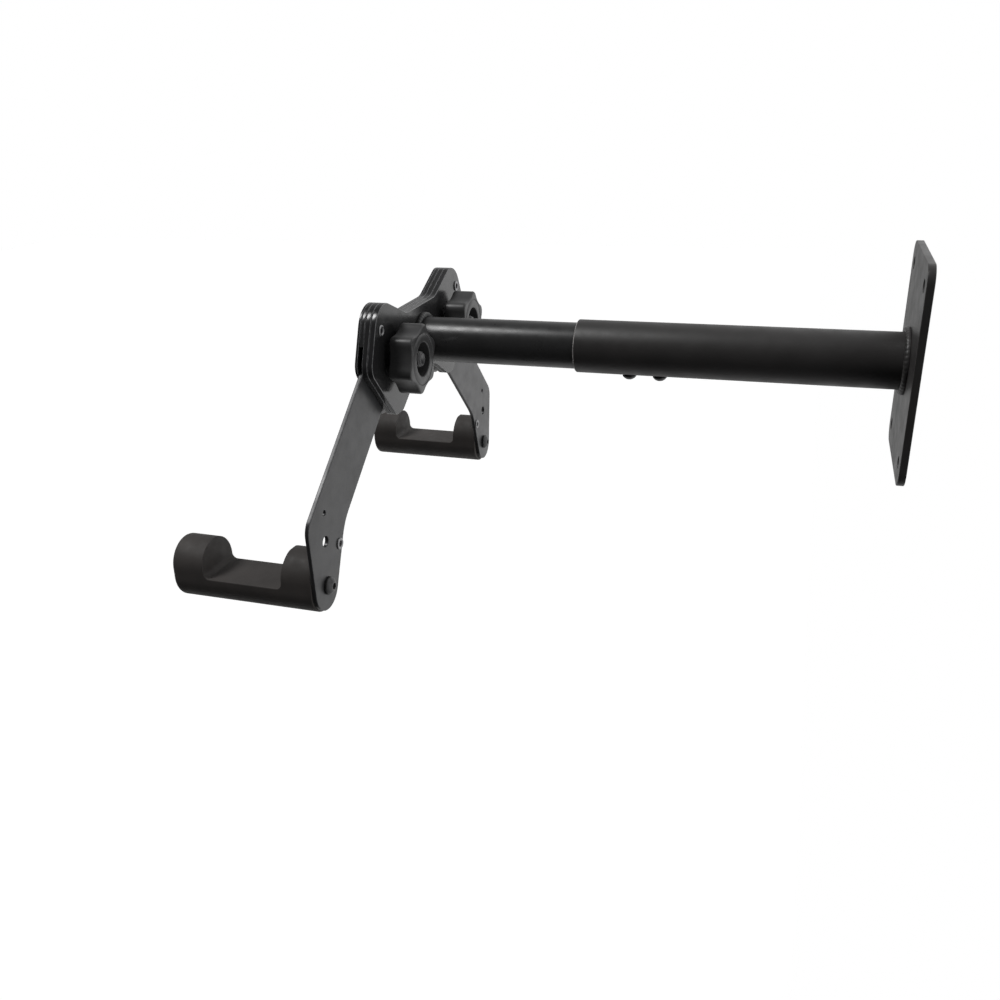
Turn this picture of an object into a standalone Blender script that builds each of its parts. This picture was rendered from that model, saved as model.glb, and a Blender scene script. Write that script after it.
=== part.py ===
"""Wall bike holder: a telescopic boom on a wall plate, with two folding arms that carry a frame tube.

Metres, +Z up. The wall is the plane Y = 0 and the holder reaches out from it along -Y.
The boom's axis is the line X = 0, Z = 0. Right is +X, as seen by someone who faces the wall.
Depths that are called from_wall are distances from the wall, so the point lies at Y = -from_wall.
"""

import math

import bmesh
import bpy
from mathutils import Matrix, Vector

# Gap left between pieces that touch
GAP = 0.0003
# Extra radius of a hole over the pin or screw in it
HOLE_PLAY = 0.0003
# Facets of a full turn
TUBE_STEPS = 40
SMALL_STEPS = 20
TINY_STEPS = 14
ARC_STEP = math.radians(18)
# How far a cutter runs past the face that it cuts
PAST = 0.002

# Wall plate, with one screw hole near each corner
WALL_PLATE_WIDTH = 0.110
WALL_PLATE_HEIGHT = 0.150
WALL_PLATE_THICKNESS = 0.005
WALL_PLATE_CORNER = 0.012
WALL_HOLE_RADIUS = 0.0045
WALL_HOLE_SPACING_X = 0.080
WALL_HOLE_SPACING_Z = 0.120

# Telescopic tubes
SLEEVE_RADIUS = 0.020
SLEEVE_WALL = 0.0022
TUBE_RADIUS = 0.0175
TUBE_WALL = 0.002
TUBE_CHAMFER = 0.0006
PACK_FROM_WALL = 0.365
SLEEVE_MOUTH_FROM_WALL = 0.238
TUBE_END_FROM_WALL = 0.080
BEAD_LEG = 0.0036
BEAD_RIPPLE = 0.00035
BEAD_RIPPLES = 20
BEAD_BULGE = 0.62

# Two button-head screws below the sleeve pull a bar down inside the slotted inner tube
LOCK_SCREWS_FROM_WALL = (0.198, 0.175)
LOCK_HEAD = (0.00525, 0.0033)
LOCK_SCREW_TIP = 0.0015
BAR_LENGTH = 0.046
BAR_TOP = -0.009
BOOM_IN = 0.030
BOOM_OUT = 0.060
SLOT_WIDTH = 0.0075
SLOT_MARGIN = 0.005
SLOT_DEPTH = 0.008

# Pack of four plates on the inner tube's end. The rear one carries the tube, the third lies beside the arms
LAYER_THICKNESS = (0.004, 0.004, 0.003, 0.002)
ARM_LAYER = 2
FRONT_LAYER = 3
PIVOT_X = 0.057
RIVET_X = 0.079
RIVET_Z = 0.026
HOLLOW_RIVET_RADIUS = 0.003
HOLLOW_RIVET_BORE = 0.0021
HOLLOW_RIVET_FLANGE = 0.00425
HOLLOW_RIVET_CURL = 0.0009

# Half of the plates' outline, from the top middle round to the bottom middle: x, z, corner radius
PLATE_HALF = (
    (0.000, 0.0277, 0.000),
    (0.0295, 0.0277, 0.020),
    (0.0645, 0.0433, 0.014),
    (0.0813, 0.0433, 0.021),
    (0.1006, 0.0000, 0.012),
    (0.0632, -0.0435, 0.006),
    (0.050, -0.0435, 0.008),
    (0.021, -0.0255, 0.014),
    (0.000, -0.0255, 0.000),
)

# Arms: x runs from the pivot along the straight bar, z across it, before they are turned
ARM_HALF_WIDTH = 0.0225
CRADLE_AT = (0.1765, -0.0295)
ARM_RIVET_AT = (0.1457, -0.0253)
ARM_LARGE_HOLE_AT = (0.1545, -0.0057)
ARM_SMALL_HOLE_AT = (0.140, 0.009)
ARM_LARGE_HOLE_RADIUS = 0.004
ARM_SMALL_HOLE_RADIUS = 0.002
ARM_ELBOW = 0.130
ELBOW_ROUND = 0.040
SHOULDER_ROUND = 0.014
ARM_END_AT = (0.1785, -0.0295)
ARM_END_RADIUS = 0.016
ARM_FOOT_SLOPE = math.radians(54)
RIGHT_ARM_DOWN = math.radians(36.6)
LEFT_ARM_DOWN = math.radians(46.0)
ARM_STOP_UP = math.radians(10)
ARM_POCKET_PLAY = 0.0006
ARM_POCKET_REACH = 0.070

# Pivot bolts and the star knobs that clamp the arms
BOLT_RADIUS = 0.006
BOLT_HEAD_FLATS = 0.018
BOLT_HEAD_HEIGHT = 0.0075
BOLT_END = 0.0218
BOLT_CHAMFER = 0.001
WASHER_RADIUS = 0.012
WASHER_THICKNESS = 0.0016
KNOB_LOBES = 6
KNOB_TURN = math.radians(45)
KNOB_TIP_RADIUS = 0.026
KNOB_TIP_ROUND = 0.006
KNOB_VALLEY_RADIUS = 0.0218
KNOB_HUB_RADIUS = 0.0112
KNOB_HUB_END = 0.0044
KNOB_FRONT = 0.0224
KNOB_EDGE = 0.0016
# Place of the middle ring of the knob's rounded edge, as a share of the edge
KNOB_EDGE_MIDDLE = 0.35
KNOB_RIM_CHAMFER = 0.0007
KNOB_RECESS_RADIUS = 0.01265
KNOB_RECESS_DEPTH = 0.0115
INSERT_RADIUS = 0.0086
INSERT_PROUD = 0.001
INSERT_CHAMFER = 0.0005

# Cradles: a bar of upright, round-ended section with a saddle cut out of its top
CRADLE_RADIUS = 0.019
CRADLE_RISE = 0.007
CRADLE_LENGTH = 0.110
CRADLE_END_ROUND = 0.003
CRADLE_BACK_CHAMFER = 0.0006
CRADLE_BORE_EXTRA = 0.001
CRADLE_TILT = math.radians(3.1)
SADDLE_START = 0.0222
SADDLE_LENGTH = 0.063
SADDLE_FLOOR = 0.0025
SADDLE_FILLET = 0.0045
CRADLE_SCREW_LENGTH = 0.022
CRADLE_HEAD = (0.0065, 0.0042)

# Shared by the M6 button-head screws. A head is its radius and height
SCREW_RADIUS = 0.003
SCREW_SOCKET_FLATS = 0.004
# Share of the head's height that is left under its socket
SCREW_SOCKET_FLOOR = 0.4
SCREW_EDGE = 0.0006
DOME_START = math.radians(4)
DOME_END = math.radians(62)


def clear_scene():
    for thing in list(bpy.data.objects):
        bpy.data.objects.remove(thing, do_unlink=True)


def material(name, colour, roughness, metallic):
    made = bpy.data.materials.new(name)
    made.use_nodes = True
    shader = made.node_tree.nodes["Principled BSDF"]
    shader.inputs["Base Color"].default_value = (*colour, 1.0)
    shader.inputs["Roughness"].default_value = roughness
    shader.inputs["Metallic"].default_value = metallic
    return made


def add_empty(name, at, turn_y=0.0, parent=None):
    empty = bpy.data.objects.new(name, None)
    empty.empty_display_size = 0.02
    empty.location = at
    empty.rotation_euler = (0.0, turn_y, 0.0)
    empty.parent = parent
    bpy.context.scene.collection.objects.link(empty)
    return empty


def closed_mesh(name, bm):
    """A mesh from a closed bmesh, with its doubled vertices joined and its faces turned outwards."""
    bmesh.ops.remove_doubles(bm, verts=bm.verts, dist=1e-7)
    bmesh.ops.recalc_face_normals(bm, faces=bm.faces)
    if bm.calc_volume(signed=True) < 0:
        bmesh.ops.reverse_faces(bm, faces=bm.faces)
    mesh = bpy.data.meshes.new(name)
    bm.to_mesh(mesh)
    bm.free()
    return mesh


def add_piece(name, bm, finish, at=(0, 0, 0), parent=None, smooth_angle=40):
    """One object from a finished bmesh, with its own material."""
    mesh = closed_mesh(name, bm)
    mesh.shade_smooth()
    mesh.set_sharp_from_angle(angle=math.radians(smooth_angle))
    mesh.materials.append(material(name + "_finish", *finish))
    piece = bpy.data.objects.new(name, mesh)
    piece.location = at
    piece.parent = parent
    bpy.context.scene.collection.objects.link(piece)
    return piece


def combine(piece, bm, operation):
    """Adds a Boolean modifier whose other shape is given in the piece's own frame."""
    name = piece.name + "_" + operation.lower()
    other = bpy.data.objects.new(name, closed_mesh(name, bm))
    other.hide_render = True
    other.display_type = "WIRE"
    other.parent = piece
    bpy.context.scene.collection.objects.link(other)
    boolean = piece.modifiers.new(operation.title(), "BOOLEAN")
    boolean.operation = operation
    boolean.solver = "EXACT"
    boolean.object = other


def cut(piece, bm):
    """Cuts a shape, given in the piece's own frame, out of the piece."""
    combine(piece, bm, "DIFFERENCE")


def fillet(before, corner, after, radius):
    """Points of the tangent arc that rounds a corner between its two neighbours."""
    here = Vector(corner)
    back = (Vector(before) - here).normalized()
    ahead = (Vector(after) - here).normalized()
    half = back.angle(ahead) / 2
    centre = here + (back + ahead).normalized() * (radius / math.sin(half))
    start = here + back * (radius / math.tan(half)) - centre
    sweep = start.angle_signed(here + ahead * (radius / math.tan(half)) - centre)
    steps = max(2, math.ceil(abs(sweep) / ARC_STEP))
    return [centre + Matrix.Rotation(-sweep * step / steps, 2) @ start for step in range(steps + 1)]


def rounded_outline(corners):
    """Points of a closed outline of corners (x, z, radius). Radius 0 keeps a corner sharp."""
    outline = []
    for index, (x, z, radius) in enumerate(corners):
        before = corners[index - 1][:2]
        after = corners[(index + 1) % len(corners)][:2]
        outline += fillet(before, (x, z), after, radius) if radius else [Vector((x, z))]
    return outline


def arc(centre, radius, start, end, steps):
    """Points of an arc in a plane, from one angle to another."""
    angles = [start + (end - start) * step / steps for step in range(steps + 1)]
    return [Vector((centre[0] + radius * math.cos(a), centre[1] + radius * math.sin(a))) for a in angles]


def slab(outline, y_low, y_high, holes=()):
    """A flat outline in X and Z with holes in it, filled and extruded along Y."""
    bm = bmesh.new()
    edges = []
    for loop in (outline, *holes):
        verts = [bm.verts.new((p[0], y_low, p[1])) for p in loop]
        edges += [bm.edges.new((verts[i - 1], verts[i])) for i in range(len(verts))]
    bmesh.ops.triangle_fill(bm, use_beauty=True, edges=edges)
    walls = bmesh.ops.extrude_face_region(bm, geom=bm.faces[:])
    moved = [item for item in walls["geom"] if isinstance(item, bmesh.types.BMVert)]
    bmesh.ops.translate(bm, verts=moved, vec=(0, y_high - y_low, 0))
    return bm


def circle(x, z, radius, steps=SMALL_STEPS):
    """The loop of a round hole or bar for slab."""
    return arc((x, z), radius, 0, math.tau, steps)[:-1]


def turned(profile, steps, closed=False):
    """A profile of (radius, y) points, turned about the Y axis. A closed one makes a ring."""
    bm = bmesh.new()
    verts = [bm.verts.new((radius, y, 0)) for radius, y in profile]
    pairs = list(zip(verts, verts[1:]))
    if closed:
        pairs.append((verts[-1], verts[0]))
    edges = [bm.edges.new(pair) for pair in pairs]
    bmesh.ops.spin(
        bm, geom=verts + edges, cent=(0, 0, 0), axis=(0, 1, 0), angle=math.tau, steps=steps, use_merge=True
    )
    return bm


def pin(radius, y_low, y_high):
    """A round bar along Y."""
    return slab(circle(0, 0, radius), y_low, y_high)


def hexagon(flats, y_low, y_high):
    """A six-sided bar along Y, from its width across flats."""
    return slab(circle(0, 0, flats / 2 / math.cos(math.radians(30)), steps=6), y_low, y_high)


def turn_about_x(bm, degrees):
    turn = Matrix.Rotation(math.radians(degrees), 3, "X")
    bmesh.ops.rotate(bm, verts=bm.verts, cent=(0, 0, 0), matrix=turn)


def lock_screw_drill(from_wall):
    """Cutter for a lock screw's bore: it stands below the boom's axis."""
    drill = pin(SCREW_RADIUS + HOLE_PLAY, -SLEEVE_RADIUS - PAST, 0)
    turn_about_x(drill, 90)
    bmesh.ops.translate(drill, verts=drill.verts, vec=(0, -from_wall, 0))
    return drill


# Finishes: colour, roughness, metallic
POWDER_COAT = ((0.024, 0.024, 0.025), 0.45, 0.0)
PLATE_COAT = ((0.030, 0.030, 0.031), 0.40, 0.0)
ARM_COAT = ((0.032, 0.032, 0.034), 0.40, 0.0)
KNOB_PLASTIC = ((0.022, 0.022, 0.023), 0.42, 0.0)
CRADLE_RUBBER = ((0.034, 0.034, 0.035), 0.70, 0.0)
BLACK_SCREW = ((0.070, 0.070, 0.072), 0.40, 0.3)
ZINC_STEEL = ((0.420, 0.420, 0.430), 0.35, 1.0)


def make_wall_plate():
    corners = []
    holes = []
    for side_x, side_z in ((1, 1), (1, -1), (-1, -1), (-1, 1)):
        corners.append((side_x * WALL_PLATE_WIDTH / 2, side_z * WALL_PLATE_HEIGHT / 2, WALL_PLATE_CORNER))
        hole_x = side_x * WALL_HOLE_SPACING_X / 2
        holes.append(circle(hole_x, side_z * WALL_HOLE_SPACING_Z / 2, WALL_HOLE_RADIUS))
    plate = slab(rounded_outline(corners), -WALL_PLATE_THICKNESS, 0, holes)
    add_piece("wall_plate", plate, POWDER_COAT)


def tube_profile(outer, wall, y_low, y_high):
    """Closed wall section of a tube with small chamfers on both mouths."""
    inner = outer - wall
    edge = TUBE_CHAMFER
    return [
        (outer - edge, y_low),
        (outer, y_low + edge),
        (outer, y_high - edge),
        (outer - edge, y_high),
        (inner + edge, y_high),
        (inner, y_high - edge),
        (inner, y_low + edge),
        (inner + edge, y_low),
    ]


def make_sleeve():
    back = -(WALL_PLATE_THICKNESS + GAP)
    profile = tube_profile(SLEEVE_RADIUS, SLEEVE_WALL, -SLEEVE_MOUTH_FROM_WALL, back)
    sleeve = add_piece("sleeve", turned(profile, TUBE_STEPS, closed=True), POWDER_COAT)
    for from_wall in LOCK_SCREWS_FROM_WALL:
        cut(sleeve, lock_screw_drill(from_wall))


def weld_bead(name, tube_radius, root_y, away):
    """Fillet weld round a tube's root: a bulging section whose size ripples as the bead was laid."""
    steps = BEAD_RIPPLES * 3
    bm = bmesh.new()
    rings = []
    for step in range(steps):
        angle = math.tau * step / steps
        leg = BEAD_LEG + BEAD_RIPPLE * math.cos(BEAD_RIPPLES * angle)
        inner = tube_radius + GAP
        bulge = leg * BEAD_BULGE
        section = [(inner, 0), (inner, leg), (inner + bulge, bulge), (inner + leg, 0)]
        ring = []
        for radius, height in section:
            y = root_y + away * (GAP + height)
            ring.append(bm.verts.new((radius * math.cos(angle), y, radius * math.sin(angle))))
        rings.append(ring)
    for ring, following in zip(rings, rings[1:] + rings[:1]):
        for low in range(4):
            high = (low + 1) % 4
            bm.faces.new((ring[low], ring[high], following[high], following[low]))
    add_piece(name, bm, POWDER_COAT, smooth_angle=60)


def button_screw(name, head, length, at, parent=None, up=False):
    """M6 button-head screw with a hexagon socket. Its seat is at the origin and its shank runs along -Y."""
    head_radius, head_height = head
    tip = SCREW_RADIUS - SCREW_EDGE
    profile = [(0.0, -length), (tip, -length), (SCREW_RADIUS, -length + SCREW_EDGE), (SCREW_RADIUS, 0.0)]
    profile += [(head_radius - SCREW_EDGE / 2, 0.0), (head_radius, SCREW_EDGE / 2)]
    rise = (head_height - SCREW_EDGE) / math.sin(DOME_END)
    for point in arc((0, 0), 1.0, DOME_START, DOME_END, 4):
        profile.append((head_radius * point.x, SCREW_EDGE + rise * point.y))
    profile.append((0.0, head_height))
    body = turned(profile, SMALL_STEPS)
    socket = hexagon(SCREW_SOCKET_FLATS, head_height * SCREW_SOCKET_FLOOR, head_height + PAST)
    if up:
        turn_about_x(body, -90)
        turn_about_x(socket, -90)
    cut(add_piece(name, body, BLACK_SCREW, at=at, parent=parent), socket)


def make_lock_screws():
    length = SLEEVE_RADIUS + GAP + BAR_TOP + LOCK_SCREW_TIP
    for name, from_wall in zip(("front_lock_screw", "rear_lock_screw"), LOCK_SCREWS_FROM_WALL):
        button_screw(name, LOCK_HEAD, length, (0, -from_wall, -SLEEVE_RADIUS - GAP), up=True)


def make_clamp_bar():
    """Half-round bar that fits the inner tube's bore, tapped for the two lock screws."""
    radius = TUBE_RADIUS - TUBE_WALL - GAP
    edge = math.asin(BAR_TOP / radius)
    outline = arc((0, 0), radius, edge, -math.pi - edge, 14)
    middle = -sum(LOCK_SCREWS_FROM_WALL) / 2
    bar = slab(outline, middle - BAR_LENGTH / 2, middle + BAR_LENGTH / 2)
    clamp = add_piece("clamp_bar", bar, ZINC_STEEL)
    for from_wall in LOCK_SCREWS_FROM_WALL:
        cut(clamp, lock_screw_drill(from_wall))


def make_inner_tube():
    """Inner tube with the slot in its underside that the lock screws run in."""
    front = -PACK_FROM_WALL + GAP
    profile = tube_profile(TUBE_RADIUS, TUBE_WALL, front, -TUBE_END_FROM_WALL)
    tube = add_piece("inner_tube", turned(profile, TUBE_STEPS, closed=True), POWDER_COAT)
    slot_front = -(LOCK_SCREWS_FROM_WALL[0] + BOOM_IN + SLOT_MARGIN)
    slot_back = -(LOCK_SCREWS_FROM_WALL[1] - BOOM_OUT - SLOT_MARGIN)
    half = SLOT_WIDTH / 2
    outline = arc((0, slot_back - half), half, 0, math.pi, 8)
    outline += arc((0, slot_front + half), half, math.pi, math.tau, 8)
    slot = slab(outline, -TUBE_RADIUS - PAST, -TUBE_RADIUS + SLOT_DEPTH)
    # The slot's outline lies in X and Y and its depth along Z
    for vert in slot.verts:
        vert.co = vert.co.xzy
    cut(tube, slot)


def layer_y(layer):
    """Front and rear Y of one of the pack's layers. Layer 0 is next to the wall and carries the tube."""
    rear = -PACK_FROM_WALL - sum(LAYER_THICKNESS[:layer]) - layer * GAP
    return rear - LAYER_THICKNESS[layer], rear


def pack_outline():
    half = list(PLATE_HALF)
    mirrored = [(-x, z, radius) for x, z, radius in reversed(half[1:-1])]
    return rounded_outline(half + mirrored)


def rivet_holes():
    return [circle(side * RIVET_X, RIVET_Z, HOLLOW_RIVET_RADIUS + HOLE_PLAY) for side in (-1, 1)]


def make_pack_plate(name, layer):
    holes = [circle(side * PIVOT_X, 0, BOLT_RADIUS + HOLE_PLAY) for side in (-1, 1)]
    add_piece(name, slab(pack_outline(), *layer_y(layer), holes + rivet_holes()), PLATE_COAT)


def make_spacer_plate():
    """The arms' own layer: the pack's outline with a pocket for each arm, whose edges stop it."""
    y_low, y_high = layer_y(ARM_LAYER)
    plate = add_piece("spacer_plate", slab(pack_outline(), y_low, y_high, rivet_holes()), PLATE_COAT)
    radius = ARM_HALF_WIDTH + ARM_POCKET_PLAY
    reach = ARM_POCKET_REACH
    for side in (-1, 1):
        pocket = arc((0, 0), radius, math.pi, math.radians(90) - ARM_STOP_UP, 12)
        slope = Vector((math.cos(ARM_STOP_UP), -math.sin(ARM_STOP_UP)))
        pocket += [pocket[-1] + slope * reach, Vector((reach, -reach)), Vector((-radius, -reach))]
        shape = [Vector((side * (PIVOT_X + p.x), p.y)) for p in pocket]
        cut(plate, slab(shape, y_low - PAST, y_high + PAST))


def hollow_rivet(name, x, z, y_low, y_high, parent=None):
    """Tubular rivet through plates that span y_low to y_high, flanged on both sides."""
    low = y_low - GAP
    high = y_high + GAP
    flange = HOLLOW_RIVET_FLANGE
    curl = HOLLOW_RIVET_CURL
    bore = HOLLOW_RIVET_BORE
    mouth = bore + curl / 2
    profile = [
        (bore, low - curl / 4),
        (mouth, low - curl),
        (flange - curl, low - curl),
        (flange, low),
        (HOLLOW_RIVET_RADIUS, low),
        (HOLLOW_RIVET_RADIUS, high),
        (flange, high),
        (flange - curl, high + curl),
        (mouth, high + curl),
        (bore, high + curl / 4),
    ]
    add_piece(name, turned(profile, TINY_STEPS, closed=True), ZINC_STEEL, at=(x, 0, z), parent=parent)


def make_pivot_bolt(name, side):
    """Hexagon-head bolt: the head lies on the front plate and the shank ends inside the knob's recess."""
    seat = layer_y(FRONT_LAYER)[0] - GAP
    root = seat - BOLT_HEAD_HEIGHT / 2
    end = -PACK_FROM_WALL + BOLT_END
    profile = [
        (0.0, root),
        (BOLT_RADIUS, root),
        (BOLT_RADIUS, end - BOLT_CHAMFER),
        (BOLT_RADIUS - BOLT_CHAMFER, end),
        (0.0, end),
    ]
    shank = turned(profile, SMALL_STEPS)
    bolt = add_piece(name, shank, BLACK_SCREW, at=(side * PIVOT_X, 0, 0))
    combine(bolt, hexagon(BOLT_HEAD_FLATS, seat - BOLT_HEAD_HEIGHT, seat), "UNION")


def make_washer(name, side):
    low = -PACK_FROM_WALL + GAP
    high = low + WASHER_THICKNESS
    inner = BOLT_RADIUS + HOLE_PLAY
    profile = [(inner, low), (WASHER_RADIUS, low), (WASHER_RADIUS, high), (inner, high)]
    add_piece(name, turned(profile, SMALL_STEPS, closed=True), ZINC_STEEL, at=(side * PIVOT_X, 0, 0))


def knob_lobes():
    """Outline of the star knob: round tips joined by tangent scallops."""
    pitch = math.tau / KNOB_LOBES
    tip_centre = KNOB_TIP_RADIUS - KNOB_TIP_ROUND
    # The scallop's radius follows from its tangency to the two tips beside it
    cosine = math.cos(pitch / 2)
    valley = KNOB_VALLEY_RADIUS
    top = valley**2 + tip_centre**2 - 2 * valley * tip_centre * cosine - KNOB_TIP_ROUND**2
    scallop = top / (2 * (KNOB_TIP_ROUND + tip_centre * cosine - valley))
    far = valley + scallop
    spread = math.atan2(far * math.sin(pitch / 2), far * cosine - tip_centre)
    outline = []
    for lobe in range(KNOB_LOBES):
        turn = Matrix.Rotation(lobe * pitch + KNOB_TURN, 2)
        tip = arc((tip_centre, 0), KNOB_TIP_ROUND, -spread, spread, 4)
        middle = (far * cosine, far * math.sin(pitch / 2))
        start = math.pi + spread
        end = math.pi + pitch - spread
        dip = arc(middle, scallop, start, end, 4)[1:-1]
        outline += [turn @ p for p in tip + dip]
    return outline


def knob_ring(bm, outline, y, radius=None, inset=0.0):
    """A ring of the knob: the lobed outline drawn in by inset, or a circle at the same angles."""
    ring = []
    for point in outline:
        unit = point.normalized()
        place = unit * radius if radius else unit * (point.length - inset)
        ring.append(bm.verts.new((place.x, y, place.y)))
    return ring


def make_knob(name, side):
    """Moulded star knob with a hub below, a round recess in its face and a bore for its steel insert."""
    outline = knob_lobes()
    base = -PACK_FROM_WALL + GAP + WASHER_THICKNESS + GAP
    under = -PACK_FROM_WALL + KNOB_HUB_END
    front = -PACK_FROM_WALL + KNOB_FRONT
    floor = front - KNOB_RECESS_DEPTH
    bore = INSERT_RADIUS + GAP
    edge = KNOB_EDGE
    middle = edge * KNOB_EDGE_MIDDLE
    rim = KNOB_RIM_CHAMFER
    bm = bmesh.new()
    rings = [
        knob_ring(bm, outline, base, radius=bore),
        knob_ring(bm, outline, base, radius=KNOB_HUB_RADIUS),
        knob_ring(bm, outline, under, radius=KNOB_HUB_RADIUS),
        knob_ring(bm, outline, under, inset=edge),
        knob_ring(bm, outline, under + middle, inset=middle),
        knob_ring(bm, outline, under + edge),
        knob_ring(bm, outline, front - edge),
        knob_ring(bm, outline, front - middle, inset=middle),
        knob_ring(bm, outline, front, inset=edge),
        knob_ring(bm, outline, front, radius=KNOB_RECESS_RADIUS + rim),
        knob_ring(bm, outline, front - rim, radius=KNOB_RECESS_RADIUS),
        knob_ring(bm, outline, floor, radius=KNOB_RECESS_RADIUS),
        knob_ring(bm, outline, floor, radius=bore),
    ]
    count = len(outline)
    for ring, following in zip(rings, rings[1:] + rings[:1]):
        for index in range(count):
            after = (index + 1) % count
            bm.faces.new((ring[index], ring[after], following[after], following[index]))
    add_piece(name, bm, KNOB_PLASTIC, at=(side * PIVOT_X, 0, 0), smooth_angle=50)
    low = base + GAP
    high = floor + INSERT_PROUD
    inner = BOLT_RADIUS + HOLE_PLAY
    chamfer = INSERT_CHAMFER
    profile = [
        (inner + chamfer, low),
        (INSERT_RADIUS, low),
        (INSERT_RADIUS, high - chamfer),
        (INSERT_RADIUS - chamfer, high),
        (inner + chamfer, high),
        (inner, high - chamfer),
        (inner, low + chamfer),
    ]
    bush = turned(profile, SMALL_STEPS, closed=True)
    add_piece(name + "_insert", bush, ZINC_STEEL, at=(side * PIVOT_X, 0, 0))


def arm_outline():
    """Dog-leg arm: round at the pivot, a straight bar, then a foot that narrows to a round end."""
    half = ARM_HALF_WIDTH
    end = Vector(ARM_END_AT)
    radius = ARM_END_RADIUS
    # The foot's outer edge is the end circle's tangent that falls at ARM_FOOT_SLOPE
    outer = Vector((math.sin(ARM_FOOT_SLOPE), math.cos(ARM_FOOT_SLOPE)))
    shoulder = Vector((end.x + (radius - (half - end.y) * outer.y) / outer.x, half))
    # Its inner edge is the tangent from the elbow to the circle's other side
    elbow = Vector((ARM_ELBOW, -half))
    leg = end - elbow
    fall = math.atan2(-leg.y, leg.x) + math.asin(radius / leg.length)
    inner = Vector((-math.sin(fall), -math.cos(fall)))
    outline = arc((0, 0), half, -math.pi / 2, -1.5 * math.pi, 14)
    outline += fillet(outline[-1], shoulder, end + outer * radius, SHOULDER_ROUND)
    outline += arc(end, radius, math.atan2(outer.y, outer.x), math.atan2(inner.y, inner.x), 12)
    outline += fillet(end + inner * radius, elbow, outline[0], ELBOW_ROUND)
    return outline


def make_arm(side_name, side, down):
    y_low, y_high = layer_y(ARM_LAYER)
    outline = [Vector((side * p.x, p.y)) for p in arm_outline()]
    pivot = add_empty(side_name + "_arm_pivot", (side * PIVOT_X, 0, 0), turn_y=side * down)
    drilled = (
        ((0, 0), BOLT_RADIUS + HOLE_PLAY),
        (CRADLE_AT, SCREW_RADIUS + HOLE_PLAY),
        (ARM_RIVET_AT, HOLLOW_RIVET_RADIUS + HOLE_PLAY),
        (ARM_LARGE_HOLE_AT, ARM_LARGE_HOLE_RADIUS),
        (ARM_SMALL_HOLE_AT, ARM_SMALL_HOLE_RADIUS),
    )
    holes = [circle(side * x, z, radius) for (x, z), radius in drilled]
    add_piece(side_name + "_arm", slab(outline, y_low, y_high, holes), ARM_COAT, parent=pivot)
    rivet_x, rivet_z = ARM_RIVET_AT
    hollow_rivet(side_name + "_arm_rivet", side * rivet_x, rivet_z, y_low, y_high, parent=pivot)
    return pivot


def cradle_ring(bm, y, inset):
    """The cradle's section: a lower and an upper half circle joined by upright sides, drawn in by inset."""
    steps = TUBE_STEPS // 2
    radius = CRADLE_RADIUS - inset
    section = arc((0, CRADLE_RISE), radius, 0, math.pi, steps)
    section += arc((0, 0), radius, math.pi, math.tau, steps)
    return [bm.verts.new((p.x, y, p.y)) for p in section]


def make_cradle(side_name, side, down, pivot):
    """Bar across the arm's end with a flat-floored saddle, and the screw that holds it."""
    at = (side * CRADLE_AT[0], 0, CRADLE_AT[1])
    # The saddles of both cradles face up at rest, tilted to the line between them
    axis = add_empty(side_name + "_cradle_axis", at, turn_y=-side * down - CRADLE_TILT, parent=pivot)
    back = layer_y(ARM_LAYER)[0] - GAP
    front = back - CRADLE_LENGTH
    turn = CRADLE_END_ROUND
    bm = bmesh.new()
    # Each point is a ring's Y and how far it is drawn in
    ends = arc((front + turn, turn), turn, math.pi, 1.5 * math.pi, 3)
    ends += [Vector((back - CRADLE_BACK_CHAMFER, 0)), Vector((back, CRADLE_BACK_CHAMFER))]
    rings = [cradle_ring(bm, point.x, point.y) for point in ends]
    for ring, following in zip(rings, rings[1:]):
        for index in range(len(ring)):
            bm.faces.new((ring[index - 1], ring[index], following[index], following[index - 1]))
    bm.faces.new(rings[0])
    bm.faces.new(rings[-1])
    cradle = add_piece(side_name + "_cradle", bm, CRADLE_RUBBER, parent=axis)
    high = CRADLE_RADIUS + CRADLE_RISE + PAST
    start = back - SADDLE_START
    end = start - SADDLE_LENGTH
    floor = SADDLE_FLOOR
    corners = [(end, high, 0), (end, floor, SADDLE_FILLET), (start, floor, SADDLE_FILLET), (start, high, 0)]
    saddle = slab(rounded_outline(corners), -high, high)
    # The slab lies across the bar: its outline runs along Y and its depth along X
    for vert in saddle.verts:
        vert.co = vert.co.yxz
    cut(cradle, saddle)
    depth = CRADLE_SCREW_LENGTH - LAYER_THICKNESS[ARM_LAYER] - GAP + CRADLE_BORE_EXTRA
    cut(cradle, pin(SCREW_RADIUS + HOLE_PLAY, back - depth, back + PAST))
    seat = (0, layer_y(ARM_LAYER)[1] + GAP, 0)
    button_screw(side_name + "_cradle_screw", CRADLE_HEAD, CRADLE_SCREW_LENGTH, seat, parent=axis)


def build():
    clear_scene()
    make_wall_plate()
    make_sleeve()
    weld_bead("sleeve_weld", SLEEVE_RADIUS, -WALL_PLATE_THICKNESS, -1)
    make_lock_screws()
    make_clamp_bar()
    make_inner_tube()
    weld_bead("tube_weld", TUBE_RADIUS, -PACK_FROM_WALL, 1)
    make_pack_plate("rear_plate", 0)
    make_pack_plate("pressure_plate", 1)
    make_spacer_plate()
    make_pack_plate("front_plate", FRONT_LAYER)
    for side_name, side, down in (("right", 1, RIGHT_ARM_DOWN), ("left", -1, LEFT_ARM_DOWN)):
        front_y = layer_y(FRONT_LAYER)[0]
        hollow_rivet(side_name + "_corner_rivet", side * RIVET_X, RIVET_Z, front_y, -PACK_FROM_WALL)
        make_pivot_bolt(side_name + "_pivot_bolt", side)
        make_washer(side_name + "_knob_washer", side)
        make_knob(side_name + "_knob", side)
        pivot = make_arm(side_name, side, down)
        make_cradle(side_name, side, down, pivot)


build()
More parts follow.
